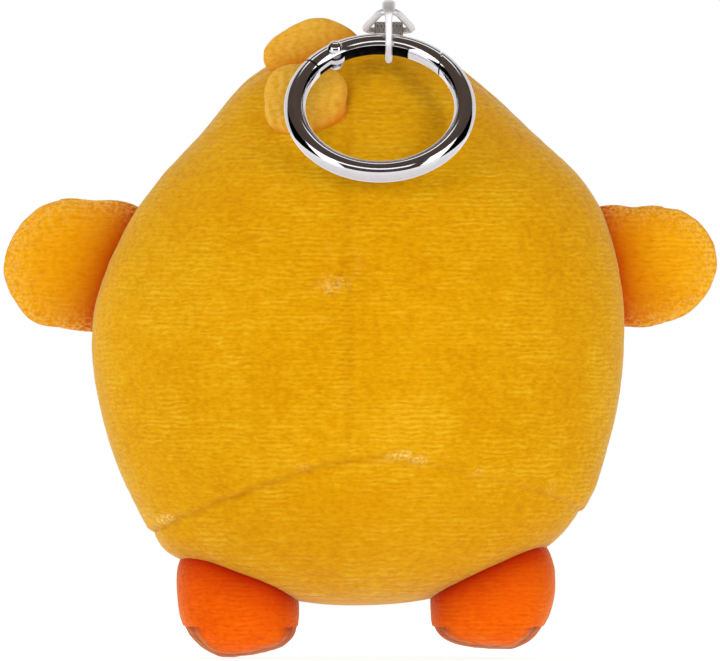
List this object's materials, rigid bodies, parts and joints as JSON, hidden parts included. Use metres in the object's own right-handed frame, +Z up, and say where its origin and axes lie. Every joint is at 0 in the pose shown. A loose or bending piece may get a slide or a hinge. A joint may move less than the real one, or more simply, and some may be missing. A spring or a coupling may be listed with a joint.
{
  "type": "plush keychain",
  "caption": "Egg-shaped plush duck keychain with padded wings, soled feet and a head tuft, on a link and a spring-gate carry ring.",
  "frame": {"origin": "centre of the bounding box's footprint, on the plane of the soles", "axes": "+Z up; the duck's back faces -Y and its face +Y; X runs from wing tip to wing tip"},
  "size_m": [0.1374, 0.0944, 0.124],
  "materials": {
    "yellow_plush": "short amber-yellow plush pile",
    "wing_plush": "short plush pile, slightly more orange than the body",
    "orange_plush": "short orange plush pile",
    "polyester_fill": "white polyester fibre stuffing",
    "tab_tape": "woven tape",
    "chrome": "bright nickel-chrome plate",
    "spring_steel": "drawn spring wire",
    "eye_black": "polished black bead",
    "washer_plastic": "moulded white plastic"
  },
  "bodies": {
    "plush_body": {"stuffing_core": "polyester_fill", "back_panel_left": "yellow_plush", "back_panel_right": "yellow_plush", "front_panel_left": "yellow_plush", "front_panel_right": "yellow_plush", "base_gusset": "yellow_plush", "bill_upper": "orange_plush", "bill_lower": "orange_plush", "eye_left": "eye_black", "eye_right": "eye_black", "eye_washer_left": "washer_plastic", "eye_washer_right": "washer_plastic", "crown_tab": "tab_tape", "tuft_lower_lobe": "yellow_plush"},
    "tuft": {"tuft_upper_lobe": "yellow_plush"},
    "wing_left": {"wing_left_back_panel": "wing_plush", "wing_left_front_panel": "wing_plush", "wing_left_fill": "polyester_fill"},
    "wing_right": {"wing_right_back_panel": "wing_plush", "wing_right_front_panel": "wing_plush", "wing_right_fill": "polyester_fill"},
    "foot_left": {"foot_left_upper": "orange_plush", "foot_left_sole": "orange_plush", "foot_left_fill": "polyester_fill"},
    "foot_right": {"foot_right_upper": "orange_plush", "foot_right_sole": "orange_plush", "foot_right_fill": "polyester_fill"},
    "loop": {"loop_ring": "chrome"},
    "link": {"connector_link": "chrome"},
    "gate": {"gate_arm": "chrome", "gate_rivet": "chrome", "gate_spring": "spring_steel"},
    "snap_ring": {"ring_body": "chrome"}
  },
  "joints": [
    {"name": "loop_swing", "type": "hinge", "parent": "plush_body", "child": "loop", "pos_m": [0.00497, -0.0115, 0.1183], "axis": [1, 0, 0], "range_deg": [-75, 0]},
    {"name": "link_swing", "type": "hinge", "parent": "loop", "child": "link", "pos_m": [0.00497, -0.02196, 0.12176], "axis": [1, 0, 0], "range_deg": [-60, 0]},
    {"name": "ring_swing", "type": "hinge", "parent": "link", "child": "gate", "pos_m": [0.00497, -0.02166, 0.11561], "axis": [-1, 0, 0], "range_deg": [0, 140]},
    {"name": "gate_hinge", "type": "hinge", "parent": "gate", "child": "snap_ring", "pos_m": [-0.00508, -0.02347, 0.11353], "axis": [0, -0.7547, 0.6561], "range_deg": [0, 22], "stiffness_Nm_per_rad": 0.02, "springref_deg": -11.46},
    {"name": "wing_left_flap", "type": "hinge", "parent": "plush_body", "child": "wing_left", "pos_m": [-0.0509, -0.0053, 0.0742], "axis": [0.2419, 0, 0.9703], "range_deg": [-35, 35], "stiffness_Nm_per_rad": 0.002},
    {"name": "wing_right_flap", "type": "hinge", "parent": "plush_body", "child": "wing_right", "pos_m": [0.0509, -0.0053, 0.0742], "axis": [-0.2419, 0, 0.9703], "range_deg": [-35, 35], "stiffness_Nm_per_rad": 0.002},
    {"name": "foot_left_flex", "type": "hinge", "parent": "plush_body", "child": "foot_left", "pos_m": [-0.0235, -0.0053, 0.013], "axis": [0.9397, 0, -0.342], "range_deg": [-20, 20], "stiffness_Nm_per_rad": 0.25},
    {"name": "foot_right_flex", "type": "hinge", "parent": "plush_body", "child": "foot_right", "pos_m": [0.0249, -0.0053, 0.0143], "axis": [0.9205, 0, 0.3907], "range_deg": [-20, 20], "stiffness_Nm_per_rad": 0.25},
    {"name": "tuft_flex", "type": "hinge", "parent": "plush_body", "child": "tuft", "pos_m": [-0.0086, -0.0089, 0.117], "axis": [0.9272, 0, 0.3746], "range_deg": [-18, 18], "stiffness_Nm_per_rad": 0.0015}
  ]
}
